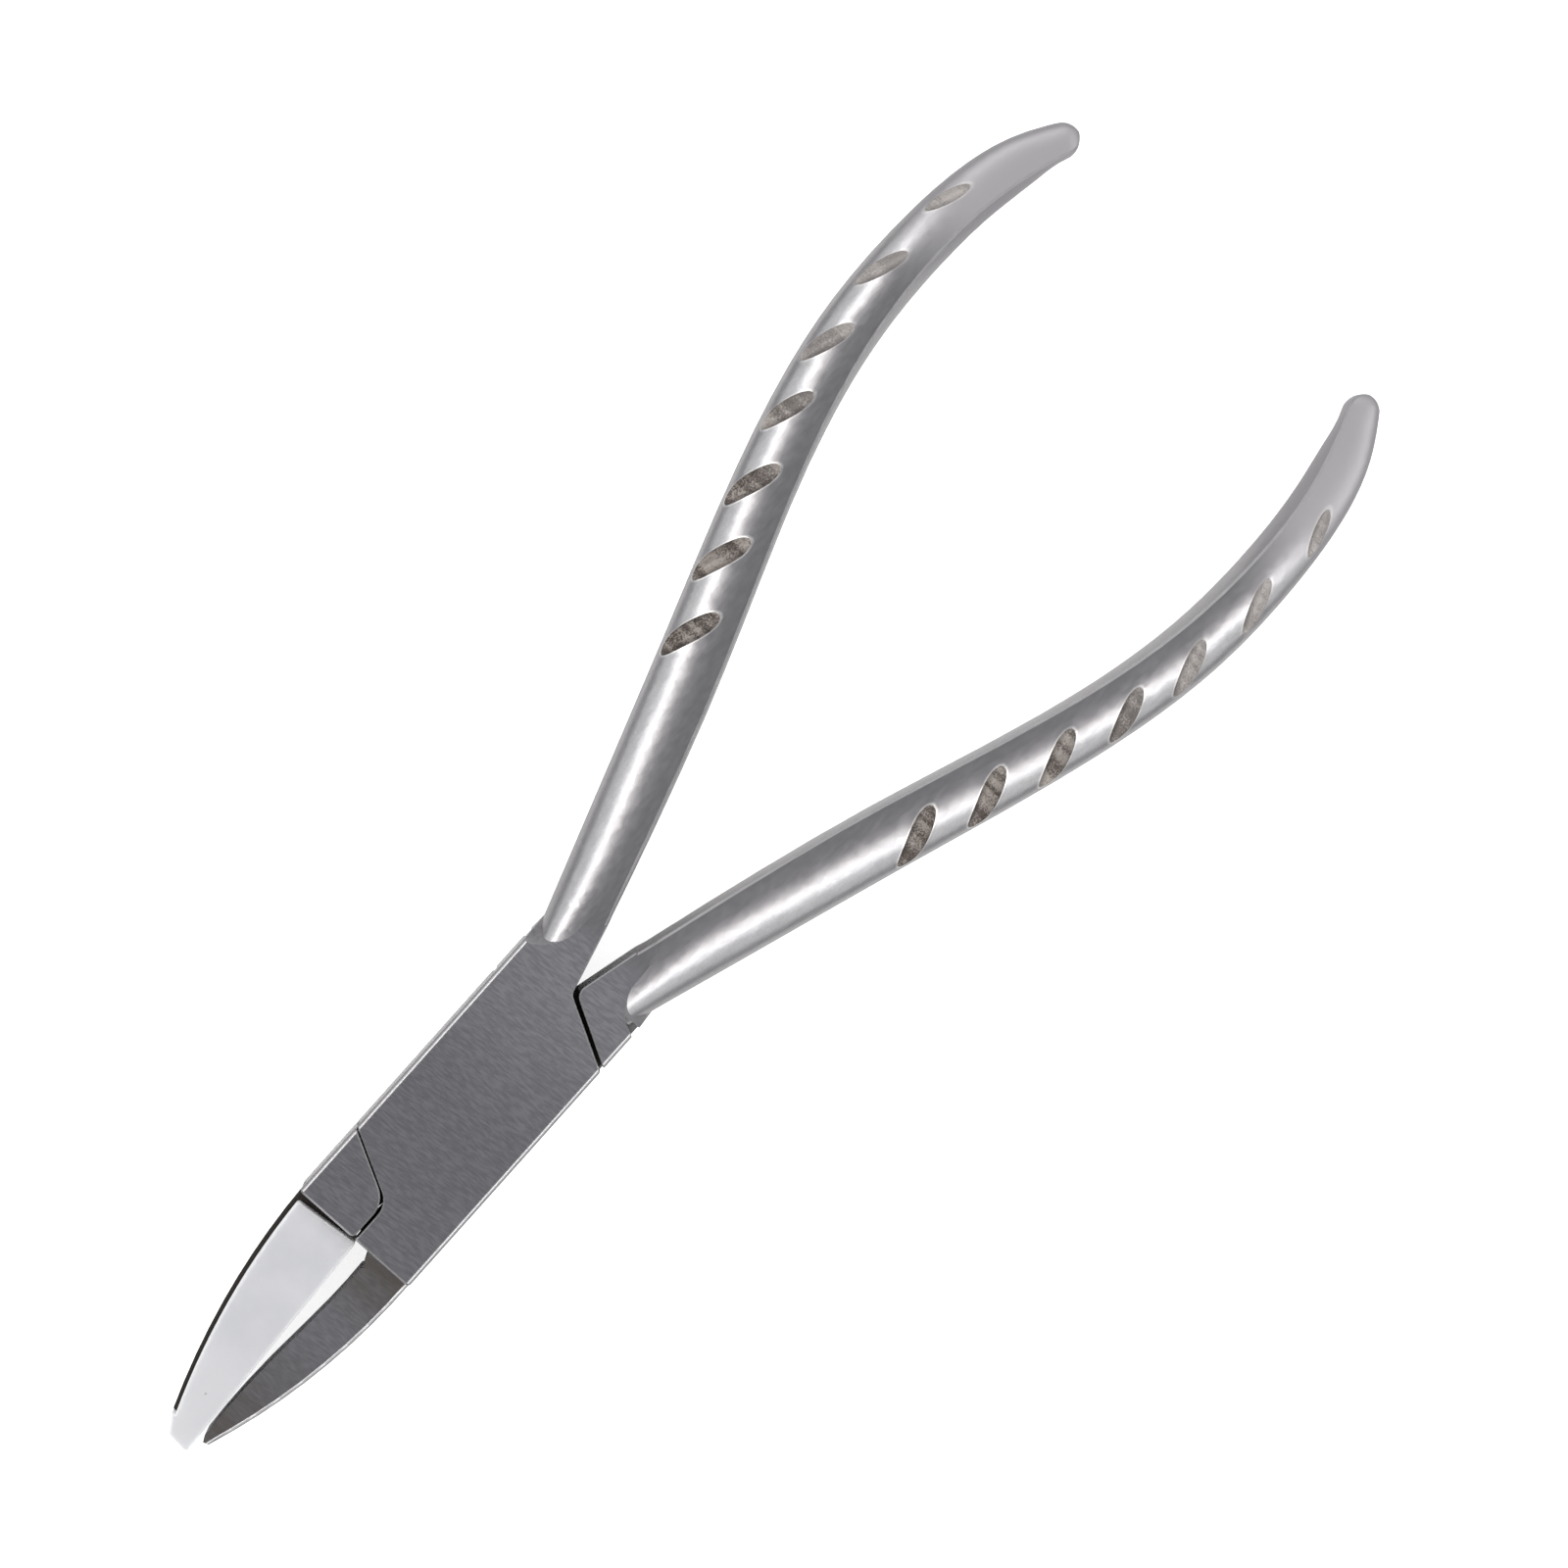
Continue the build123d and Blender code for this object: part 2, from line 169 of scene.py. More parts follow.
# Ground or brushed grain: noise drawn out into lines, with LinesAcross per metre across the lines and
# LinesAlong per metre along them, turned by Turn radians from Y. Height is 0.6 of that noise and 0.4
# of one 2.5 times as coarse, and Shade is the coarser one alone, from 0 to 1.
def buildGrain():
    tree, put, out = newGroup(
        "grain",
        [("LinesAcross", 9000.0), ("LinesAlong", 260.0), ("Turn", 0.0), ("Seed", 0.0)],
        [("Height", "NodeSocketFloat"), ("Shade", "NodeSocketFloat")],
    )
    turn = addNode(tree, "ShaderNodeVectorRotate", rotation_type="Z_AXIS")
    tree.links.new(objectPlace(tree), turn.inputs["Vector"])
    tree.links.new(put["Turn"], turn.inputs["Angle"])
    lines = joinNode(tree, put["LinesAcross"], put["LinesAlong"], put["LinesAlong"])
    stretched = vectorNode(tree, "MULTIPLY", turn.outputs[0], lines)
    noises = []
    for fineness, detail in ((1.0, 3.0), (0.4, 2.0)):
        noise = addNode(tree, "ShaderNodeTexNoise", noise_dimensions="4D", Scale=1.0, Detail=detail)
        tree.links.new(scaled(tree, stretched, fineness), noise.inputs["Vector"])
        tree.links.new(put["Seed"], noise.inputs["W"])
        noises.append(noise.outputs[0])
    fine, coarse = noises
    height = mathNode(tree, "ADD", times(tree, fine, 0.6), times(tree, coarse, 0.4))
    tree.links.new(height, out["Height"])
    tree.links.new(stepNode(tree, coarse, *noiseSpread), out["Shade"])
    return tree


# Cloudy mottling at two sizes in metres, for handled metal and nylon: 0 to 1 about a mean of 0.5.
def buildSpeckle():
    tree, put, out = newGroup(
        "speckle",
        [("Size", 0.002), ("Fine", 0.0002)],
        [("Broad", "NodeSocketFloat"), ("Grit", "NodeSocketFloat")],
    )
    place = objectPlace(tree)
    for socketName, outName, detail in (("Size", "Broad", 4.0), ("Fine", "Grit", 2.0)):
        noise = addNode(tree, "ShaderNodeTexNoise", Detail=detail)
        tree.links.new(place, noise.inputs["Vector"])
        tree.links.new(mathNode(tree, "DIVIDE", 1.0, put[socketName]), noise.inputs["Scale"])
        tree.links.new(stepNode(tree, noise.outputs[0], *noiseSpread), out[outName])
    return tree


# Painted shade in hollows: 1 in a seam and 0 on open faces, from how much of the space within Reach
# metres is walled in, so that the colour darkens where shade falls.
def buildHollows():
    tree, put, out = newGroup(
        "hollows",
        [("Reach", 0.0006), ("Start", 0.12), ("Full", 0.4)],
        [("HollowShade", "NodeSocketFloat")],
    )
    ambient = addNode(tree, "ShaderNodeAmbientOcclusion", samples=6, only_local=True)
    tree.links.new(put["Reach"], ambient.inputs["Distance"])
    hidden = mathNode(tree, "SUBTRACT", 1.0, ambient.outputs["AO"])
    ramp = addNode(tree, "ShaderNodeMapRange", interpolation_type="SMOOTHSTEP")
    tree.links.new(hidden, ramp.inputs["Value"])
    tree.links.new(put["Start"], ramp.inputs["From Min"])
    tree.links.new(put["Full"], ramp.inputs["From Max"])
    tree.links.new(ramp.outputs[0], out["HollowShade"])
    return tree


# Softened edges: the normal rounded over Radius metres, and a mask of the edges, 1 where that rounding
# turns it away from the face.
def buildEdges():
    tree, put, out = newGroup(
        "edges",
        [("Radius", 0.00008), ("Sharpness", 6.0)],
        [("Normal", "NodeSocketVector"), ("EdgeMask", "NodeSocketFloat")],
    )
    bevel = addNode(tree, "ShaderNodeBevel", samples=6)
    tree.links.new(put["Radius"], bevel.inputs["Radius"])
    geometry = tree.nodes.new("ShaderNodeNewGeometry")
    along = vectorNode(tree, "DOT_PRODUCT", bevel.outputs[0], geometry.outputs["Normal"])
    away = mathNode(tree, "SUBTRACT", 1.0, along)
    tree.links.new(mathNode(tree, "MULTIPLY", away, put["Sharpness"], clamp=True), out["EdgeMask"])
    tree.links.new(bevel.outputs[0], out["Normal"])
    return tree


# Distance from the rim of one grinding wheel: the wheel stands at Centre with its axle along Axis.
# With h the height along the axle and p the distance from the axle, the distance from the rounded
# rim is the length of (p - wheel radius, h) less the rim's own radius. Along is the distance from
# the cut's middle towards its inner end.
def buildWheel(wheelRadius, rimRadius):
    tree, put, out = newGroup(
        "grindingWheel",
        [("Place", (0.0, 0.0, 0.0)), ("Centre", (0.0, 0.0, 0.0)), ("Axis", (0.0, 0.0, 1.0)),
         ("Heading", (1.0, 0.0, 0.0))],
        [("Away", "NodeSocketFloat"), ("Along", "NodeSocketFloat")],
    )
    fromCentre = vectorNode(tree, "SUBTRACT", put["Place"], put["Centre"])
    height = vectorNode(tree, "DOT_PRODUCT", fromCentre, put["Axis"])
    heightSquared = times(tree, height, height)
    squared = vectorNode(tree, "DOT_PRODUCT", fromCentre, fromCentre)
    fromAxle = mathNode(tree, "SQRT", mathNode(tree, "SUBTRACT", squared, heightSquared))
    past = mathNode(tree, "SUBTRACT", fromAxle, wheelRadius)
    total = mathNode(tree, "ADD", times(tree, past, past), heightSquared)
    tree.links.new(mathNode(tree, "SUBTRACT", mathNode(tree, "SQRT", total), rimRadius), out["Away"])
    tree.links.new(vectorNode(tree, "DOT_PRODUCT", fromCentre, put["Heading"]), out["Along"])
    return tree


grainGroup = buildGrain()
speckleGroup = buildSpeckle()
hollowsGroup = buildHollows()
edgesGroup = buildEdges()
print("shared effects built")


# The grip grooves, as they were ground: the handle's centre line and the wheel that cut each one.

gripLook = {
    "middle": 0.004,                       # height of the handles' mid-plane
    "root": (-0.014, -0.0031),
    "rootAngle": 16.5,                     # degrees outwards from -X
    "arcs": [(0.730, 3.5), (0.066, -26.0), (0.035, -14.0), (0.014, -17.0)],  # radius, turn outwards
    "grooves": [                           # distance along the handle, floor above its mid-plane
        (0.0303, 0.00208),
        (0.0374, 0.00207),
        (0.0444, 0.00207),
        (0.0513, 0.00218),
        (0.0582, 0.00230),
        (0.0663, 0.00239),
        (0.0750, 0.00243),
    ],
    "offset": 0.0008,                      # outwards from the centre line
    "lean": 30.0,
    "heading": 28.0,                       # degrees inwards from -X
    "wheelRadius": 0.016,
    "rimRadius": 0.00095,
    "nearCut": (0.0004, 0.0003),           # distances from a wheel: outside its groove, and within it
    "outerEnd": (0.0004, -0.0024),         # along a groove: where its outer end starts and is reached
}


# Point and direction on a chain of tangent arcs, as the handle on the -Y side is laid out: each arc
# of radius r turns by its angle, and a point on it is its centre plus r at the angle reached.
def handlePoint(distance):
    x, y = gripLook["root"]
    angle = math.pi + math.radians(gripLook["rootAngle"])
    for radius, turn in gripLook["arcs"]:
        side = math.copysign(1.0, turn)
        part = min(distance, radius * math.radians(abs(turn)))
        centreX = x - side * radius * math.sin(angle)
        centreY = y + side * radius * math.cos(angle)
        angle += side * part / radius
        x = centreX + side * radius * math.sin(angle)
        y = centreY - side * radius * math.cos(angle)
        distance -= part
    return Vector((x, y, 0.0)), Vector((math.cos(angle), math.sin(angle), 0.0))


# Centres and axles of the wheels, for the handle on the -Y side with its mid-plane at 0.
def grooveWheels():
    look = gripLook
    turn = math.radians(look["heading"])
    heading = Vector((-math.cos(turn), math.sin(turn), 0.0))
    lean = math.radians(look["lean"])
    wheels = []
    for distance, height in look["grooves"]:
        point, along = handlePoint(distance)
        outwards = Vector((-along.y, along.x, 0.0))
        normal = outwards * math.sin(lean) + Vector((0.0, 0.0, math.cos(lean)))
        reach = look["wheelRadius"] + look["rimRadius"]
        centre = point + outwards * look["offset"] + Vector((0.0, 0.0, height)) + normal * reach
        wheels.append((centre, heading.cross(normal).normalized(), heading))
    return wheels


# Distance of the surface from the nearest groove wheel, with both handles and both faces folded
# onto the one handle that the wheels are given for: (x, -|y|, |z - middle|). Also gives how near
# the surface is to the outer end of a groove, 0 to 1.
def nearestWheel(tree, place):
    wheel = buildWheel(gripLook["wheelRadius"], gripLook["rimRadius"])
    sideways = times(tree, mathNode(tree, "ABSOLUTE", place["Y"]), -1.0)
    upwards = mathNode(tree, "ABSOLUTE", mathNode(tree, "SUBTRACT", place["Z"], gripLook["middle"]))
    folded = joinNode(tree, place["X"], sideways, upwards)
    nearest, outer = 1.0, 0.0
    for centre, axis, heading in grooveWheels():
        node = placeGroup(tree, wheel, Place=folded, Centre=centre, Axis=axis, Heading=heading)
        inCut = stepNode(tree, node.outputs["Away"], *gripLook["nearCut"])
        toEnd = stepNode(tree, node.outputs["Along"], *gripLook["outerEnd"])
        nearest = mathNode(tree, "MINIMUM", nearest, node.outputs["Away"])
        outer = mathNode(tree, "MAXIMUM", outer, times(tree, inCut, toEnd))
    return nearest, outer


# Steel of the two halves and the rivet: ground flats, satin handles, rough groove floors.

steelLook = {
    # ground flats
    "flatColour": (0.362, 0.357, 0.380),
    "flatDark": (0.335, 0.330, 0.352),
    "flatRear": 1.3,                       # how much paler the flats are at their rear
    "flatPale": (0.004, -0.014),           # X where that starts and is full
    "flatMottle": 0.4,                     # share of cloudy mottling in the grain's shade
    "flatRough": (0.30, 0.38),
    "levelNormal": (0.985, 0.9995),        # upward part of the normal: sloping, and level
    "flatSkin": 0.00003,                   # a flat is ground down to within this of the joint's faces
    "flatFade": (-0.0185, -0.0155),        # X where the flats run out on the handles' inner third
    "jawFlats": (0.015, 0.016),            # X where the jaws' own flats start
    "grain": {"LinesAcross": 14000.0, "LinesAlong": 2600.0, "Turn": math.radians(-4.0)},

    # the steel jaw's face browns at its tip, and at the step it darkens with painted shadow from the
    # joint's front wall
    "jawBrownAndShadow": (0.225, 0.205, 0.19),
    "stepShadow": (0.024, 0.0165),
    "brownTip": (0.024, 0.038),
    "jawStart": (0.0164, 0.0166),
    "leastBrown": 0.6,                     # between the streaks
    "streaks": {"LinesAcross": 2500.0, "LinesAlong": 300.0, "Seed": 5.0},

    # handles
    "handleColour": (0.61, 0.595, 0.595),
    "handleDark": (0.49, 0.48, 0.49),
    "handleTopShade": (0.42, 0.415, 0.43),      # painted shade: darker along the handles' inner third, which lies level
    "topShadeNormal": (0.90, 0.99),
    "endColour": (0.50, 0.485, 0.50),      # the handles' ends, left from the belt
    "endShare": 0.85,
    "endStart": (-0.076, -0.088),
    "handleMottle": 0.35,
    "handleGrit": 0.5,
    "handleRough": (0.28, 0.33),
    "endRough": 0.58,
    "brush": {"LinesAcross": 2500.0, "LinesAlong": 9000.0, "Seed": 3.0},
    "mottle": {"Size": 0.007, "Fine": 0.00016},

    # grip grooves
    "grooveColour": (0.44, 0.40, 0.37),
    "grooveDark": (0.13, 0.11, 0.098),
    "wornGroove": (0.56, 0.54, 0.53),      # the rear grooves and all outer ends, polished by use
    "wornStart": (-0.052, -0.075),
    "wornPale": 0.5,
    "wornRimHighlight": 0.3,
    "outerPale": 0.62,
    "grooveDepth": (0.00004, 0.0),         # distances from the wheel: clear of it, on its floor
    "floorStreaks": 0.55,                  # share of streaks in the floor's shade
    "floorSpread": (0.2, 0.8),
    "grooveRough": 0.6,
    # painted highlight where the grooves' rounded rims would catch the light
    "rimHighlightColour": (0.92, 0.91, 0.90),
    "rimReach": (0.000182, 0.00007),       # distances from the wheel: past the rim, and on it
    "leastRimHighlight": 0.55,

    # painted shade in hollows, and faces inside painted near black as shade
    "hollowShadeColour": (0.13, 0.11, 0.10),
    "leastHollowShade": 0.65,
    "hollow": {"Reach": 0.0007, "Start": 0.30, "Full": 0.75},
    "insideShadeColour": (0.055, 0.050, 0.046), # painted shade, near black: faces inside the joint, and the pad's carrier blade
    "insideRough": 0.5,
    "insideDepth": (0.00014, 0.00028),     # below the joint's faces
    "insideRear": (-0.0129, -0.0127),      # the rear seams' X at the centre line
    "seamSlope": 0.55,                     # and how they run outwards
    "insideFront": (0.0163, 0.0162),
    "insideSide": (0.00622, 0.00615),
    "bladeStart": (-0.0009, -0.00081),     # X from the pad's rear end
    "bladeSide": (0.0, -0.0001),
    "bladeDepth": (0.0027, 0.0029),

    # relief
    "satinRelief": 0.4,                    # the handles' against the flats'
    "floorRelief": 5.0,                    # the groove floors'
    "bump": (0.35, 0.00002),
}


# How much of each surface is a ground flat: it faces straight up or down, and it is at the level of
# the joint's faces or of the jaws'. Also gives the surface's depth below the joint's faces, which is
# half the joint's height less the distance from its mid-plane.
def flatMask(tree, place, upright):
    look = steelLook
    level = stepNode(tree, upright, *look["levelNormal"])
    low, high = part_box("steel_jaw_half")
    half = (high[2] - low[2]) / 2
    fromMiddle = mathNode(tree, "ABSOLUTE", mathNode(tree, "SUBTRACT", place["Z"], low[2] + half))
    depth = mathNode(tree, "SUBTRACT", half, fromMiddle)
    skin = stepNode(tree, depth, 2 * look["flatSkin"], look["flatSkin"])
    skin = times(tree, skin, stepNode(tree, place["X"], *look["flatFade"]))
    jaws = stepNode(tree, place["X"], *look["jawFlats"])
    return times(tree, level, mathNode(tree, "MAXIMUM", skin, jaws)), depth


# Faces painted near black as shade, where they lie deep in recesses: everything between the rear seams,
# the front wall and the joint's sides that lies deeper than insideDepth below its faces, and the blade
# that the pad slides over.
def insideShadeMask(tree, place, depth):
    look = steelLook
    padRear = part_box("nylon_pad")[0][0]
    sideways = mathNode(tree, "ABSOLUTE", place["Y"])
    pastSeam = mathNode(tree, "SUBTRACT", place["X"], times(tree, sideways, look["seamSlope"]))
    joint = times(tree, stepNode(tree, pastSeam, *look["insideRear"]),
                  stepNode(tree, place["X"], *look["insideFront"]))
    joint = times(tree, joint, stepNode(tree, sideways, *look["insideSide"]))
    joint = times(tree, joint, stepNode(tree, depth, *look["insideDepth"]))
    fromPad = mathNode(tree, "SUBTRACT", place["X"], float(padRear))
    blade = times(tree, stepNode(tree, fromPad, *look["bladeStart"]),
                  stepNode(tree, place["Y"], *look["bladeSide"]))
    blade = times(tree, blade, stepNode(tree, depth, *look["bladeDepth"]))
    return mathNode(tree, "MAXIMUM", joint, blade)


def buildSteel():
    look = steelLook
    material, tree, shader = newMaterial("satinSteel")
    place = splitNode(tree, objectPlace(tree))
    upright = uprightNode(tree)
    flat, depth = flatMask(tree, place, upright)
    away, outer = nearestWheel(tree, place)
    inside = insideShadeMask(tree, place, depth)

    grain = placeGroup(tree, grainGroup, **look["grain"]).outputs
    brush = placeGroup(tree, grainGroup, **look["brush"]).outputs
    streaks = placeGroup(tree, grainGroup, **look["streaks"]).outputs
    mottle = placeGroup(tree, speckleGroup, **look["mottle"]).outputs
    hollow = placeGroup(tree, hollowsGroup, **look["hollow"]).outputs

    # ground flats
    shade = mixValue(tree, look["flatMottle"], grain["Shade"], mottle["Broad"])
    flatColour = mixColour(tree, shade, look["flatDark"], look["flatColour"])
    paler = mixValue(tree, stepNode(tree, place["X"], *look["flatPale"]), 1.0, look["flatRear"])
    flatColour = scaled(tree, flatColour, paler)
    # brown at the tip is the jaw's own tone; near the step the same colour is painted shadow from the
    # front wall
    brownAndShadow = mathNode(tree, "MAXIMUM", stepNode(tree, place["X"], *look["stepShadow"]),
                     stepNode(tree, place["X"], *look["brownTip"]))
    brownAndShadow = times(tree, brownAndShadow, stepNode(tree, place["X"], *look["jawStart"]))
    brownAndShadow = times(tree, brownAndShadow, mixValue(tree, streaks["Shade"], look["leastBrown"], 1.0))
    flatColour = mixColour(tree, brownAndShadow, flatColour, look["jawBrownAndShadow"])

    # handles
    shade = mixValue(tree, look["handleMottle"], brush["Shade"], mottle["Broad"])
    shade = mixValue(tree, look["handleGrit"], shade, mottle["Grit"])
    handleColour = mixColour(tree, shade, look["handleDark"], look["handleColour"])
    # painted shade: the handles' level inner third darkened, as where it faces the dark top of the sky
    top = stepNode(tree, upright, *look["topShadeNormal"])
    handleColour = mixColour(tree, top, handleColour, look["handleTopShade"])
    end = stepNode(tree, place["X"], *look["endStart"])
    handleColour = mixColour(tree, times(tree, end, look["endShare"]), handleColour, look["endColour"])
    colour = mixColour(tree, flat, handleColour, flatColour)

    # grooves, and a painted highlight on their rims
    worn = stepNode(tree, place["X"], *look["wornStart"])
    groove = stepNode(tree, away, *look["grooveDepth"])
    rim = times(tree, stepNode(tree, away, *look["rimReach"]), mathNode(tree, "SUBTRACT", 1.0, groove))
    rim = times(tree, rim, mixValue(tree, brush["Shade"], look["leastRimHighlight"], 1.0))
    rim = times(tree, rim, mixValue(tree, worn, 1.0, look["wornRimHighlight"]))
    floorShade = mixValue(tree, look["floorStreaks"], mottle["Grit"], streaks["Shade"])
    floorShade = stepNode(tree, floorShade, *look["floorSpread"])
    floorColour = mixColour(tree, floorShade, look["grooveDark"], look["grooveColour"])
    pale = mathNode(tree, "MAXIMUM", times(tree, worn, look["wornPale"]),
                    times(tree, outer, look["outerPale"]))
    floorColour = mixColour(tree, pale, floorColour, look["wornGroove"])
    colour = mixColour(tree, rim, colour, look["rimHighlightColour"])
    colour = mixColour(tree, groove, colour, floorColour)

    # painted shade in hollows, and faces inside painted near black as shade
    hollowShade = times(tree, hollow["HollowShade"], mixValue(tree, mottle["Grit"], look["leastHollowShade"], 1.0))
    colour = mixColour(tree, hollowShade, colour, look["hollowShadeColour"])
    colour = mixColour(tree, inside, colour, look["insideShadeColour"])
    tree.links.new(colour, shader.inputs["Base Color"])

    flatRough = mixValue(tree, grain["Shade"], *look["flatRough"])
    rough = mixValue(tree, brush["Shade"], *look["handleRough"])
    rough = mixValue(tree, end, rough, look["endRough"])
    rough = mixValue(tree, flat, rough, flatRough)
    rough = mixValue(tree, mathNode(tree, "MAXIMUM", groove, hollowShade), rough, look["grooveRough"])
    rough = mixValue(tree, inside, rough, look["insideRough"])
    tree.links.new(rough, shader.inputs["Roughness"])
    shader.inputs["Metallic"].default_value = 1.0

    satin = times(tree, brush["Height"], look["satinRelief"])
    relief = mixValue(tree, flat, satin, grain["Height"])
    gritty = times(tree, floorShade, times(tree, groove, look["floorRelief"]))
    addBump(tree, shader, look["bump"], mathNode(tree, "ADD", relief, gritty))
    return material


# Nylon pad: milky, faintly blue-grey, with machined lines along it, one dark fleck, and a painted
# highlight on its rounded edges.

nylonLook = {
    "colour": (0.60, 0.605, 0.63),
    "pale": (0.70, 0.70, 0.715),
    # colour of the painted highlight on the pad's rounded edges
    "edge": (0.86, 0.865, 0.88),
    "tipPale": 0.8,                        # how far the colour pales towards the tip
    "pastTip": 0.002,                      # beyond the tip, where it would be palest
    "paleness": (0.5, 0.9),                # how much the cloudiness pales it, and how much the tip does
    "edgeNormal": (0.999, 0.93),           # upward part of the normal: on the flats, on the rounds
    "rough": (0.38, 0.5),
    "scatterDepth": 0.0015,
    "scatter": 0.45,
    "refraction": 1.53,
    "speckPlace": (0.0352, -0.0006, 0.0068),
    "speckReach": (0.000162, 0.000054),    # distances from its middle: outside it, and within it
    "speckColour": (0.3, 0.3, 0.3),
    "speckShare": 0.6,
    "mottle": {"Size": 0.004, "Fine": 0.00025},
    "cut": {"LinesAcross": 300.0, "LinesAlong": 5000.0, "Seed": 7.0},
    "edges": {"Radius": 0.0004, "Sharpness": 7.0},
    "gritRelief": 0.4,
    "bump": (0.25, 0.00003),
}


def buildNylon():
    look = nylonLook
    material, tree, shader = newMaterial("whiteNylon")
    mottle = placeGroup(tree, speckleGroup, **look["mottle"]).outputs
    cut = placeGroup(tree, grainGroup, **look["cut"]).outputs
    edges = placeGroup(tree, edgesGroup, **look["edges"]).outputs
    place = objectPlace(tree)
    low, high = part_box("nylon_pad")
    toTip = stepNode(tree, splitNode(tree, place)["X"], (low[0] + high[0]) / 2, high[0] + look["pastTip"])
    cloudy, tip = look["paleness"]
    pale = mixValue(tree, times(tree, toTip, look["tipPale"]), times(tree, mottle["Broad"], cloudy), tip)
    colour = mixColour(tree, pale, look["colour"], look["pale"])
    # painted highlight: paler where the pad's faces round over at its edges
    rounded = stepNode(tree, uprightNode(tree), *look["edgeNormal"])
    rounded = mathNode(tree, "MAXIMUM", rounded, edges["EdgeMask"])
    colour = mixColour(tree, rounded, colour, look["edge"])
    away = vectorNode(tree, "DISTANCE", place, look["speckPlace"])
    speck = times(tree, stepNode(tree, away, *look["speckReach"]), look["speckShare"])
    colour = mixColour(tree, speck, colour, look["speckColour"])
    tree.links.new(colour, shader.inputs["Base Color"])
    tree.links.new(mixValue(tree, mottle["Grit"], *look["rough"]), shader.inputs["Roughness"])
    shader.inputs["Subsurface Weight"].default_value = look["scatter"]
    shader.inputs["Subsurface Radius"].default_value = (1.0, 1.0, 1.0)
    shader.inputs["Subsurface Scale"].default_value = look["scatterDepth"]
    shader.inputs["IOR"].default_value = look["refraction"]
    relief = mathNode(tree, "ADD", cut["Height"], times(tree, mottle["Grit"], look["gritRelief"]))
    addBump(tree, shader, look["bump"], relief, edges["Normal"])
    return material


# Turned steel of the screws.

turnedLook = {
    "colour": (0.66, 0.66, 0.665),
    "dark": (0.5, 0.5, 0.5),
    "rough": (0.22, 0.34),
    "ringWidth": 0.00007,
    "edges": {"Radius": 0.00006},
    "hollow": {"Reach": 0.0004, "Start": 0.25, "Full": 0.7},
    "bump": (0.3, 0.00001),
}


# Turned metal: rings about the vertical through centre, from noise of the distance from it divided
# by ringWidth.
def buildTurned(name, centre):
    look = turnedLook
    material, tree, shader = newMaterial(name)
    centred = addNode(tree, "ShaderNodeMapping", vector_type="POINT")
    centred.inputs["Location"].default_value = (-centre[0], -centre[1], 0.0)
    tree.links.new(objectPlace(tree), centred.inputs["Vector"])
    levelled = vectorNode(tree, "MULTIPLY", centred.outputs[0], (1.0, 1.0, 0.0))
    radius = vectorNode(tree, "LENGTH", levelled)
    noise = addNode(tree, "ShaderNodeTexNoise", noise_dimensions="1D", Scale=1.0, Detail=2.0)
    tree.links.new(mathNode(tree, "DIVIDE", radius, look["ringWidth"]), noise.inputs["W"])
    rings = noise.outputs[0]
    edges = placeGroup(tree, edgesGroup, **look["edges"]).outputs
    hollow = placeGroup(tree, hollowsGroup, **look["hollow"]).outputs
    colour = mixColour(tree, rings, look["dark"], look["colour"])
    # painted shade in the screws' hollows
    colour = mixColour(tree, hollow["HollowShade"], colour, steelLook["hollowShadeColour"])
    tree.links.new(colour, shader.inputs["Base Color"])
    tree.links.new(mixValue(tree, rings, *look["rough"]), shader.inputs["Roughness"])
    shader.inputs["Metallic"].default_value = 1.0
    addBump(tree, shader, look["bump"], rings, edges["Normal"])
    return material


def paint(node, material):
    nodes[node].material_slots[0].material = material


steel = buildSteel()
for name in ("steel_jaw_half", "pad_jaw_half", "pivot_rivet"):
    paint(name, steel)
paint("nylon_pad", buildNylon())
for name in ("pad_screw_rear", "pad_screw_front"):
    low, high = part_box(name)
    paint(name, buildTurned(name + "Steel", (low + high) / 2))
print("materials on")


# Table, lights and camera.

stageLook = {
    "tableColour": (0.94, 0.94, 0.94),
    "tableInGloss": (0.30, 0.30, 0.31),    # how the table shows in the metal
    "glossReach": (0.004, 0.016),          # distances over which it fades to that
    "tableGlow": 0.85,                     # only the camera sees it
    "tableRough": 0.8,
    "tableSize": 3.0,
    "tableGap": 0.00002,                   # between the table and the faces that rest on it
    "skyTop": (0.27, 0.27, 0.28),
    "skyRim": (0.80, 0.81, 0.82),
    "skyTopPlace": (0.17, 0.0, 0.98),
    "skyFade": (0.93, 0.55),               # cosines from the sky's top: all top colour, all rim colour
    "softboxes": [                         # degrees from upright, distance, width, brightness, colour
        (44.0, 0.70, 0.10, 3.2, (0.96, 0.98, 1.0)),
        (36.0, 0.72, 0.08, 3.0, (1.0, 0.94, 0.89)),
    ],
    "softboxLength": 1.6,
    "middle": (-0.03, 0.0, 0.0),
}


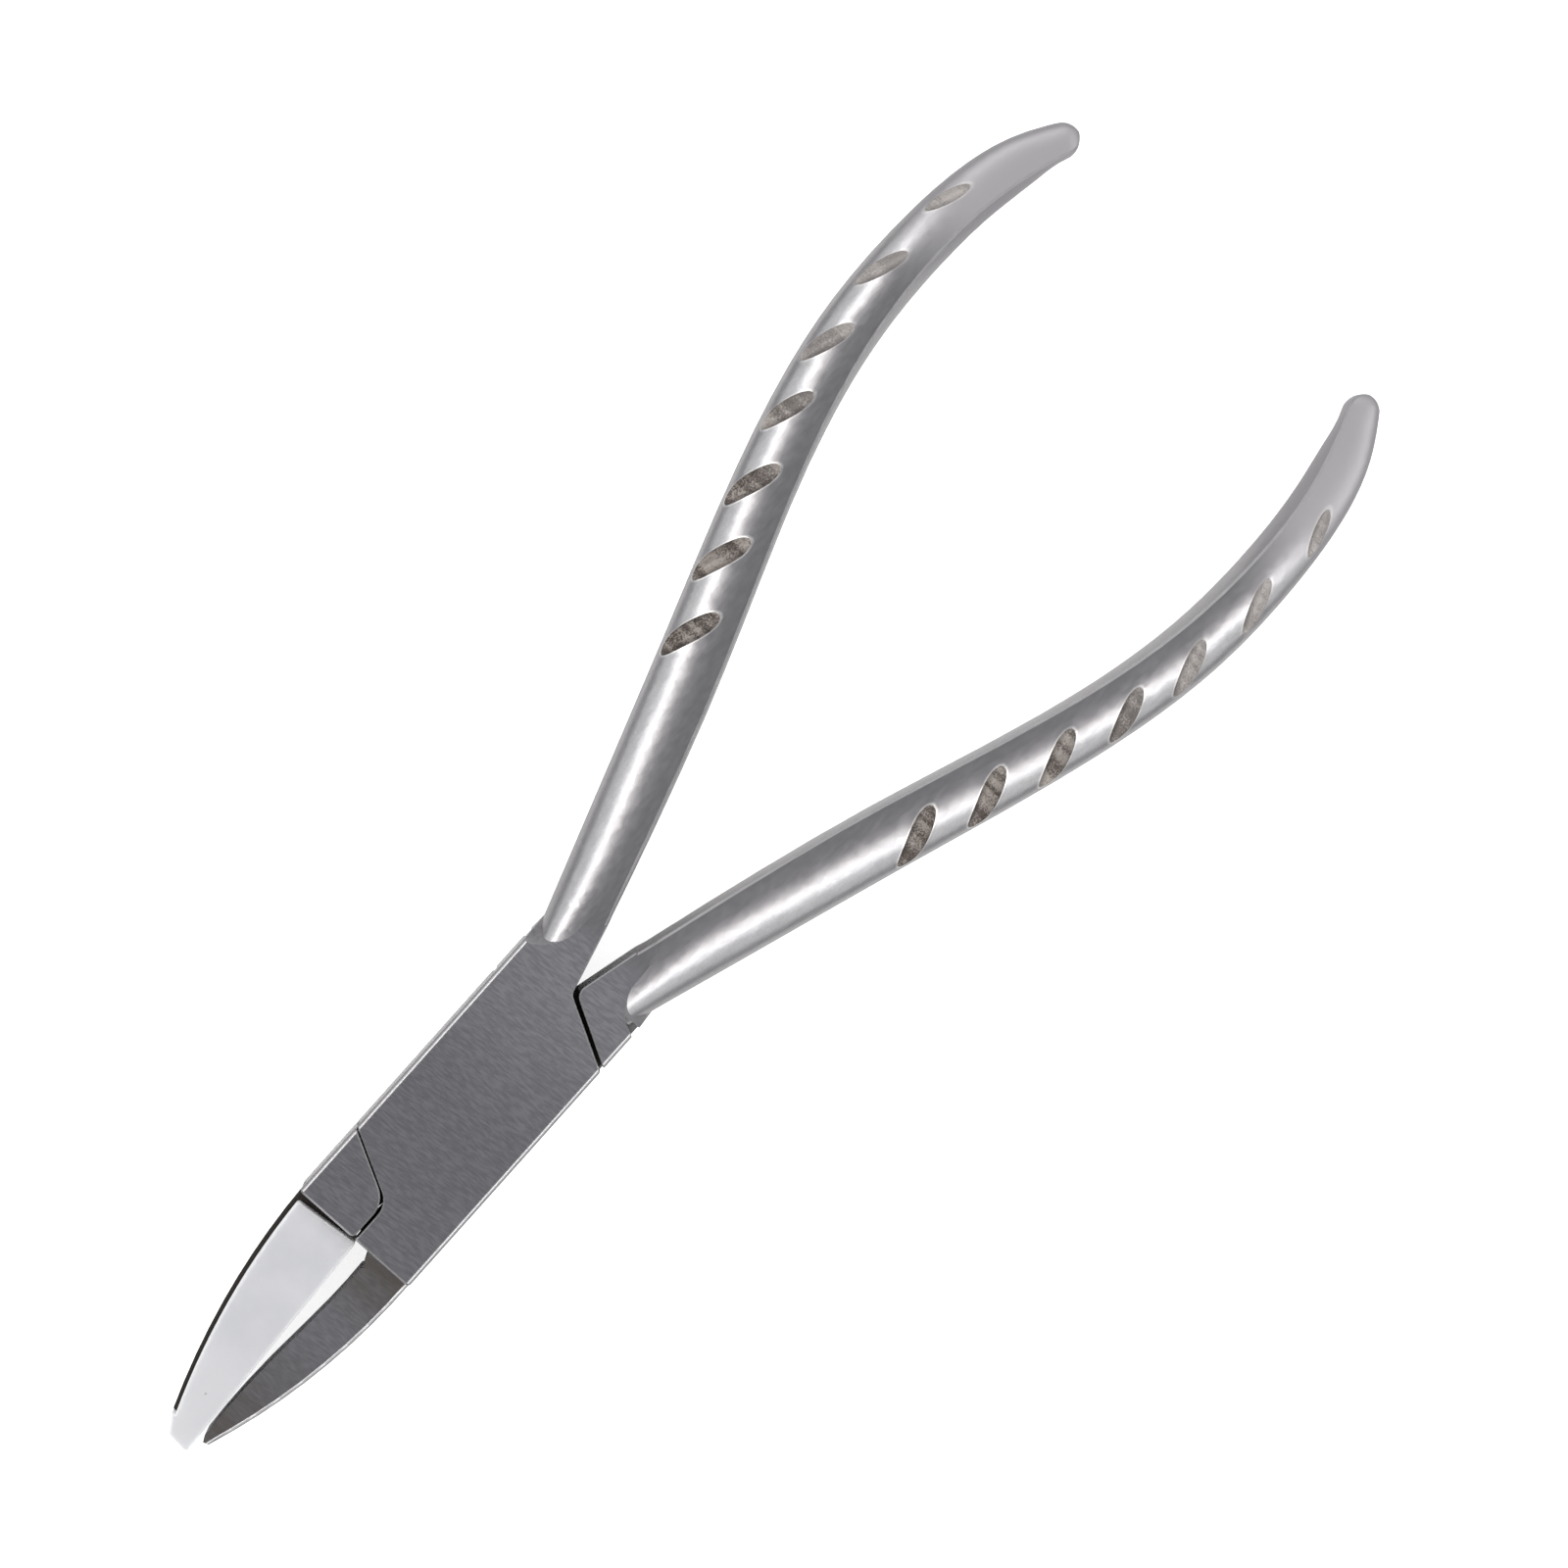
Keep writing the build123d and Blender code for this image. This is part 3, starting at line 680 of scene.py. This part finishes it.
# A flat square of tableSize, as a grid of two by two points. In the metal its colour fades to
# tableInGloss with distance, so that walls near the table stay bright.
def buildTable():
    half = stageLook["tableSize"] / 2
    x, y = np.meshgrid([-half, half], [-half, half])
    points = np.stack([x.ravel(), y.ravel(), np.full(4, -stageLook["tableGap"])], axis=1)
    mesh = bpy.data.meshes.new("table")
    mesh.from_pydata(points.tolist(), [], [(0, 1, 3, 2)])
    table = bpy.data.objects.new("table", mesh)
    bpy.context.scene.collection.objects.link(table)
    material, tree, shader = newMaterial("paleTable")
    path = tree.nodes.new("ShaderNodeLightPath")
    far = stepNode(tree, path.outputs["Ray Length"], *stageLook["glossReach"])
    far = times(tree, far, path.outputs["Is Glossy Ray"])
    seen = mixColour(tree, far, stageLook["tableColour"], stageLook["tableInGloss"])
    tree.links.new(seen, shader.inputs["Base Color"])
    shader.inputs["Roughness"].default_value = stageLook["tableRough"]
    shader.inputs["Emission Color"].default_value = (*stageLook["tableColour"], 1.0)
    glow = times(tree, path.outputs["Is Camera Ray"], stageLook["tableGlow"])
    tree.links.new(glow, shader.inputs["Emission Strength"])
    mesh.materials.append(material)


# A sky that darkens towards skyTopPlace, and a pair of long softboxes along X for each row of the
# dictionary, one on each side, as bright per area as the row says.
def buildLights():
    world = bpy.data.worlds.new("studio")
    world.use_nodes = True
    tree = world.node_tree
    coords = tree.nodes.new("ShaderNodeTexCoord")
    upward = vectorNode(tree, "DOT_PRODUCT", coords.outputs["Generated"], stageLook["skyTopPlace"])
    rim = stepNode(tree, upward, *stageLook["skyFade"])
    sky = mixColour(tree, rim, stageLook["skyTop"], stageLook["skyRim"])
    tree.links.new(sky, tree.nodes["Background"].inputs["Color"])
    bpy.context.scene.world = world
    middle = Vector(stageLook["middle"])
    length = stageLook["softboxLength"]
    for number, (lean, distance, width, brightness, colour) in enumerate(stageLook["softboxes"]):
        for side in (-1, 1):
            lamp = bpy.data.lights.new(f"softbox{number}{'left' if side < 0 else 'right'}", "AREA")
            lamp.shape = "RECTANGLE"
            lamp.size = length
            lamp.size_y = width
            lamp.energy = brightness * math.pi * length * width
            lamp.color = colour
            away = Vector((0.0, side * math.sin(math.radians(lean)), math.cos(math.radians(lean))))
            holder = bpy.data.objects.new(lamp.name, lamp)
            holder.matrix_world = (Matrix.Translation(middle + away * distance)
                                   @ away.to_track_quat("Z", "Y").to_matrix().to_4x4())
            bpy.context.scene.collection.objects.link(holder)


cameraLook = {
    "middle": (-0.0381, 0.0016, 0.006),   # what the view's centre shows
    "frameWidth": 0.1371,
    "distance": 0.45,
    "up": (-0.745, -0.667),               # the view's upward direction on the table
    "lean": math.radians(3.0),            # from upright, towards -Y
    "sensor": 36.0,
    "clip": (0.01, 20.0),
}


# The lens is as long as makes frameWidth fill the view from that distance.
def buildCamera():
    look = cameraLook
    data = bpy.data.cameras.new("camera")
    data.sensor_width = look["sensor"]
    data.lens = look["sensor"] * look["distance"] / look["frameWidth"]
    data.dof.use_dof = False
    data.clip_start, data.clip_end = look["clip"]
    back = Vector((0.0, -math.sin(look["lean"]), math.cos(look["lean"])))
    up = Vector((*look["up"], 0.0))
    up = (up - back * up.dot(back)).normalized()
    right = up.cross(back)
    camera = bpy.data.objects.new("camera", data)
    turn = Matrix((right, up, back)).transposed().to_4x4()
    camera.matrix_world = Matrix.Translation(Vector(look["middle"]) + back * look["distance"]) @ turn
    bpy.context.scene.collection.objects.link(camera)
    bpy.context.scene.camera = camera


buildTable()
buildLights()
buildCamera()
bpy.context.scene.view_settings.view_transform = "Standard"
print("stage, lights and camera set")
